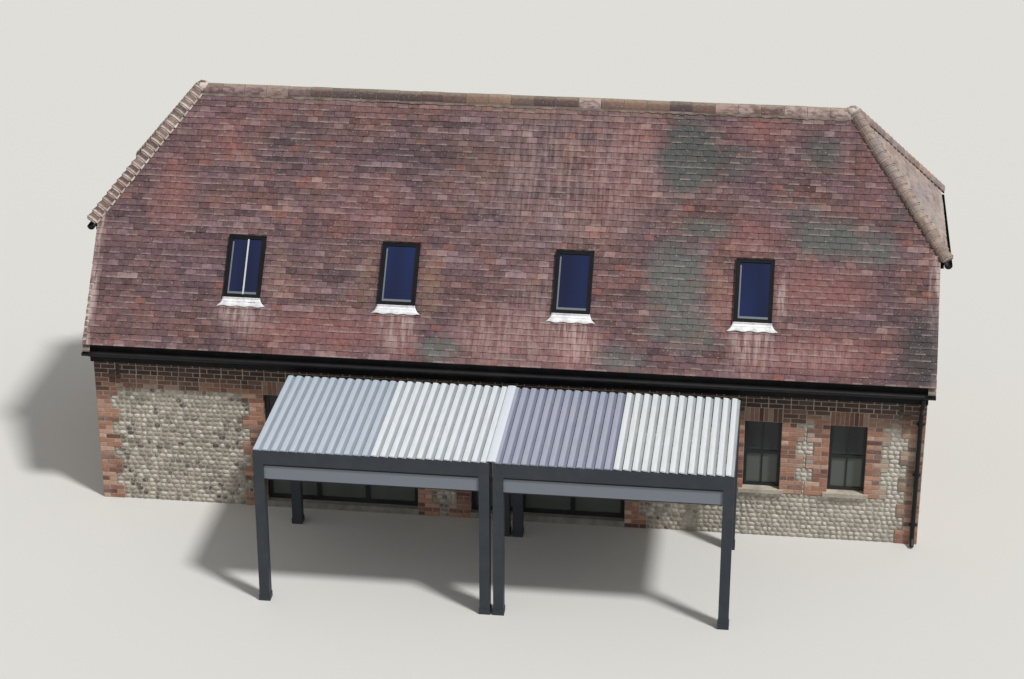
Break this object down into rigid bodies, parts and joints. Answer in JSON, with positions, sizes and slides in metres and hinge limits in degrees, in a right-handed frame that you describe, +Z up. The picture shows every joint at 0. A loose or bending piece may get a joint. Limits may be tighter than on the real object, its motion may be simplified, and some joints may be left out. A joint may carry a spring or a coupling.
{
  "type": "flint and brick barn with a half-hipped tiled roof and a louvred canopy",
  "caption": "Small flint and brick barn with a half-hipped clay tile roof, rooflights and a flat louvred canopy along its front wall.",
  "frame": {"origin": "on the ground under the middle of the ridge, at the middle of the floor slab's underside", "axes": "+X along the ridge, +Y from the front wall with the canopy to the back wall, +Z up"},
  "size_m": [13.328, 8.324, 6.1477],
  "materials": {
    "flint_wall": "knapped flint in lime mortar",
    "red_brick": "weathered handmade brick",
    "clay_tile": "weathered plain clay tile",
    "ridge_tile": "pale weathered clay",
    "concrete": "trowelled",
    "sill_stone": "dressed",
    "timber": "sawn",
    "lime_mortar": "struck",
    "black_board": "painted, satin",
    "black_gutter": "satin",
    "window_frame": "satin",
    "glass": "clear",
    "lead": "dull",
    "canopy_grey": "powder coat",
    "louvre_white": "powder coat",
    "blind_grey": "powder coat"
  },
  "bodies": {
    "root": {"back_brick_band": "red_brick", "back_brick_dressings": "red_brick", "back_eave_boards": "black_board", "back_gutter": "black_gutter", "back_rafters": "timber", "back_roof_tiles": "clay_tile", "back_wall": "flint_wall", "back_window_frames": "window_frame", "back_window_glass": "glass", "canopy_joint_strip": "louvre_white", "canopy_louvres_1": "louvre_white", "canopy_louvres_2": "louvre_white", "canopy_louvres_3": "louvre_white", "canopy_louvres_4": "louvre_white", "door_frames": "window_frame", "door_glass": "glass", "door_thresholds": "concrete", "downpipes": "black_gutter", "floor_slab": "concrete", "front_brick_band": "red_brick", "front_brick_dressings": "red_brick", "front_eave_boards": "black_board", "front_gutter": "black_gutter", "front_rafters": "timber", "front_roof_tiles": "clay_tile", "front_wall_left": "flint_wall", "front_wall_middle": "flint_wall", "front_wall_right": "flint_wall", "front_window_frames": "window_frame", "front_window_glass": "glass", "gable_window_frames": "window_frame", "gable_window_glass": "glass", "hip_eave_boards": "black_board", "hip_gutters": "black_gutter", "hip_rafters": "timber", "left_bonnet_tiles": "clay_tile", "left_canopy_blind_box": "blind_grey", "left_canopy_frame": "canopy_grey", "left_canopy_posts": "canopy_grey", "left_gable_dressings": "red_brick", "left_gable_wall": "flint_wall", "left_hip_tiles": "clay_tile", "ridge_board": "timber", "ridge_tiles": "ridge_tile", "right_bonnet_tiles": "clay_tile", "right_canopy_blind_box": "blind_grey", "right_canopy_frame": "canopy_grey", "right_canopy_posts": "canopy_grey", "right_gable_dressings": "red_brick", "right_gable_wall": "flint_wall", "right_hip_tiles": "clay_tile", "rooflight_aprons": "lead", "rooflight_frames": "window_frame", "rooflight_glass": "glass", "tie_beams": "timber", "verge_undercloaks": "lime_mortar", "wall_plates": "timber", "window_sills": "sill_stone"}
  },
  "joints": []
}
